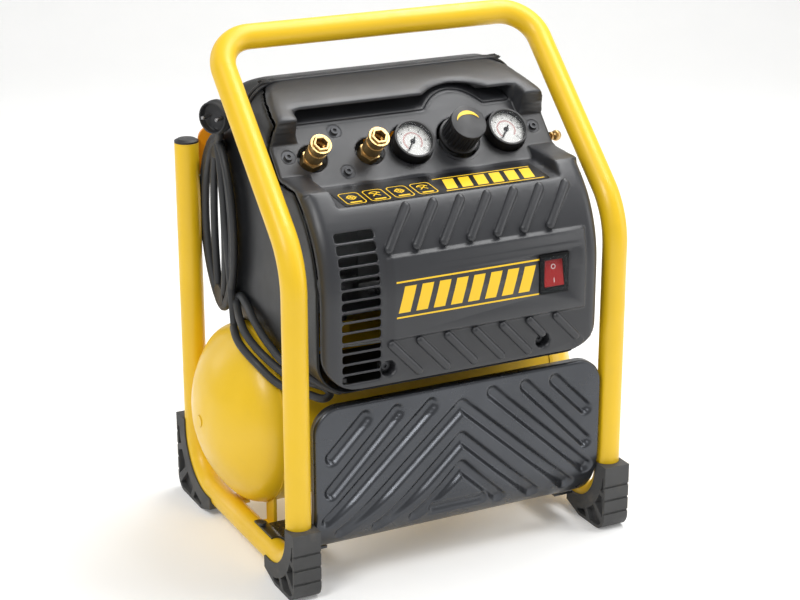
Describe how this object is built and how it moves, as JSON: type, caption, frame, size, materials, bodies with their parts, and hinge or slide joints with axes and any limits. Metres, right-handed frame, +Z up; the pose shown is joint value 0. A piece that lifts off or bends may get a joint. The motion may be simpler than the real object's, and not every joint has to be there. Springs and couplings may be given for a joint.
{
  "type": "roll-cage air compressor",
  "caption": "Portable electric air compressor in a tubular roll cage, with a horizontal domed tank, covered pump, sloping control panel and rubber feet.",
  "frame": {"origin": "on the floor, midway between the two side tubes and midway between the front and rear legs", "axes": "+X to the operator's right hand when facing the panel, +Y to the back, +Z up"},
  "size_m": [0.481, 0.3566, 0.599],
  "materials": {
    "cage_paint": "gloss powder coat",
    "brace_paint": "gloss powder coat",
    "tank_paint": "gloss powder coat",
    "black_paint": "satin powder coat",
    "foot_rubber": "matt",
    "cover_plastic": "fine grained",
    "dark_plastic": "satin",
    "steel": "zinc plated",
    "plain_steel": "machined",
    "chrome": "polished",
    "brass": "machined",
    "copper": "enamelled wire",
    "castings": "as cast",
    "iron": "as cast",
    "tube_plastic": "translucent nylon",
    "dial_white": "printed",
    "needle_black": "matt",
    "clear": "clear plastic",
    "red_plastic": "gloss",
    "cord_rubber": "matt",
    "teflon": "filled PTFE"
  },
  "bodies": {
    "frame": {"roll_cage": "cage_paint", "rear_brace": "brace_paint", "tube_caps": "dark_plastic", "front_left_foot": "foot_rubber", "front_right_foot": "foot_rubber", "rear_left_foot": "foot_rubber", "rear_right_foot": "foot_rubber", "kick_plate": "black_paint", "rail_clips": "black_paint", "outer_screws": "steel", "air_tank": "tank_paint", "tank_brackets": "cage_paint", "tank_plug": "brass", "drain_valve": "brass", "check_valve": "brass", "delivery_pipe": "castings", "unloader_tube": "tube_plastic", "outlet_pipe": "castings", "pump_saddles": "tank_paint", "vibration_mounts": "foot_rubber", "pump_deck": "steel", "crankcase": "castings", "motor_stator": "plain_steel", "motor_windings": "copper", "motor_end_bell": "castings", "motor_bolts": "steel", "shaft_bearings": "plain_steel", "cylinder_barrel": "castings", "valve_plate": "plain_steel", "cylinder_head": "castings", "head_bolts": "steel", "intake_filter": "dark_plastic", "start_capacitor": "dark_plastic", "pressure_switch": "dark_plastic", "switch_bezel": "dark_plastic", "switch_cover": "clear", "air_manifold": "castings", "safety_valve": "brass", "coupler_bodies": "brass", "gauge_cases": "dark_plastic", "gauge_dials": "dial_white", "gauge_lenses": "clear", "regulator_body": "castings", "front_cover": "cover_plastic", "rear_cover": "cover_plastic", "cord_hooks": "dark_plastic", "power_cord": "cord_rubber"},
    "rocker": {"rocker_switch": "red_plastic"},
    "regulator": {"regulator_knob": "dark_plastic"},
    "needle_left": {"left_needle": "needle_black"},
    "needle_right": {"right_needle": "needle_black"},
    "sleeve_left": {"left_coupler_sleeve": "brass"},
    "sleeve_right": {"right_coupler_sleeve": "brass"},
    "relief": {"safety_valve_knob": "brass"},
    "drain": {"drain_knob": "brass"},
    "shaft": {"motor_rotor": "plain_steel", "crankshaft": "plain_steel", "cooling_fan": "dark_plastic"},
    "piston": {"connecting_rod": "castings", "piston_ring": "teflon"}
  },
  "joints": [
    {"name": "power_rocker", "type": "hinge", "parent": "frame", "child": "rocker", "pos_m": [0.107, -0.1665, 0.3353], "axis": [1, 0, 0], "range_deg": [0, 12]},
    {"name": "regulator_turn", "type": "hinge", "parent": "frame", "child": "regulator", "pos_m": [0.0546, -0.0425, 0.46692], "axis": [0, -0.7314, 0.682], "range_deg": [-720, 720]},
    {"name": "left_gauge", "type": "hinge", "parent": "frame", "child": "needle_left", "pos_m": [-0.0053, -0.04284, 0.46656], "axis": [0, -0.7314, 0.682], "range_deg": [-270, 0]},
    {"name": "right_gauge", "type": "hinge", "parent": "frame", "child": "needle_right", "pos_m": [0.115, -0.04284, 0.46656], "axis": [0, -0.7314, 0.682], "range_deg": [-270, 0]},
    {"name": "left_release", "type": "slide", "parent": "frame", "child": "sleeve_left", "axis": [0, -0.7314, 0.682], "range_m": [-0.003, 0]},
    {"name": "right_release", "type": "slide", "parent": "frame", "child": "sleeve_right", "axis": [0, -0.7314, 0.682], "range_m": [-0.003, 0]},
    {"name": "relief_pull", "type": "slide", "parent": "frame", "child": "relief", "axis": [1, 0, 0], "range_m": [0, 0.003]},
    {"name": "drain_turn", "type": "hinge", "parent": "frame", "child": "drain", "pos_m": [0.06, 0.037, 0.02], "axis": [0, 0, 1], "range_deg": [0, 360]},
    {"name": "crank_spin", "type": "hinge", "parent": "frame", "child": "shaft", "pos_m": [0, 0.041, 0.346], "axis": [1, 0, 0], "continuous": true},
    {"name": "piston_stroke", "type": "slide", "parent": "frame", "child": "piston", "axis": [0, 0, 1], "range_m": [-0.02, 0]}
  ]
}
